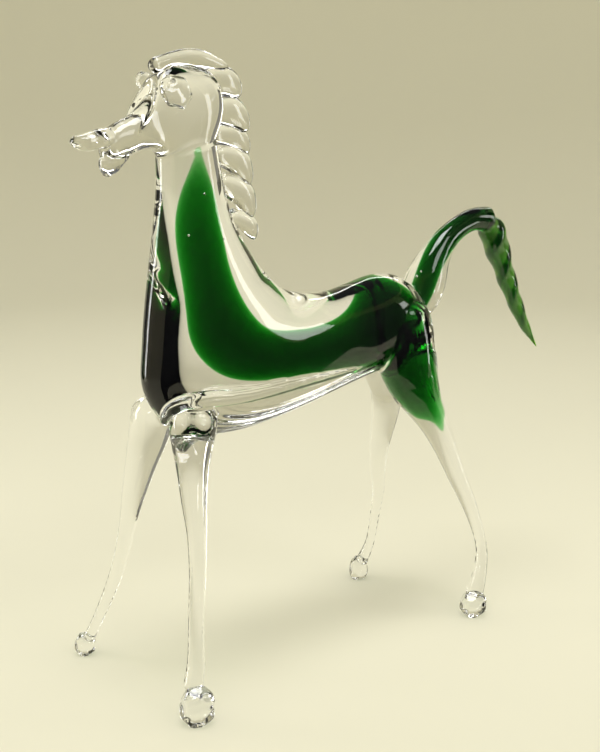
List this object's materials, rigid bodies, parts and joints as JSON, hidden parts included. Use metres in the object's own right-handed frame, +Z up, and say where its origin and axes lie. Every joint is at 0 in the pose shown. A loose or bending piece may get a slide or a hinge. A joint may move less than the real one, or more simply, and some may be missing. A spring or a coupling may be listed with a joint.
{
  "type": "glass horse figurine",
  "caption": "Flameworked glass horse standing on drawn legs, clear crystal cased over a green core, with a scalloped mane and a twisted tail.",
  "frame": {"origin": "on the ground under the middle of the horse's bounding box", "axes": "the horse faces -Y, its left side is +X and +Z is up"},
  "size_m": [0.0588, 0.1616, 0.1596],
  "materials": {
    "clear_glass": "fire-polished clear crystal, smooth, with faint draw lines",
    "green_glass": "deep bottle green transparent glass, nearly black where thick",
    "light_green_glass": "thinner green glass, twisted and lighter along its edges"
  },
  "bodies": {
    "root": {"body_casing": "clear_glass", "green_core": "green_glass", "left_thigh_streak": "green_glass", "tail_core": "green_glass", "tail_casing": "clear_glass", "tail_switch": "light_green_glass", "left_fore_leg": "clear_glass", "left_fore_foot": "clear_glass", "right_fore_leg": "clear_glass", "right_fore_foot": "clear_glass", "left_hind_leg": "clear_glass", "left_hind_foot": "clear_glass", "right_hind_leg": "clear_glass", "right_hind_foot": "clear_glass", "head": "clear_glass", "upper_lip": "clear_glass", "lower_jaw": "clear_glass", "left_ear": "clear_glass", "right_ear": "clear_glass", "mane_crown": "clear_glass", "mane_lobe_1": "clear_glass", "mane_lobe_2": "clear_glass", "mane_lobe_3": "clear_glass", "mane_lobe_4": "clear_glass", "mane_lobe_5": "clear_glass", "mane_lobe_6": "clear_glass"}
  },
  "joints": []
}
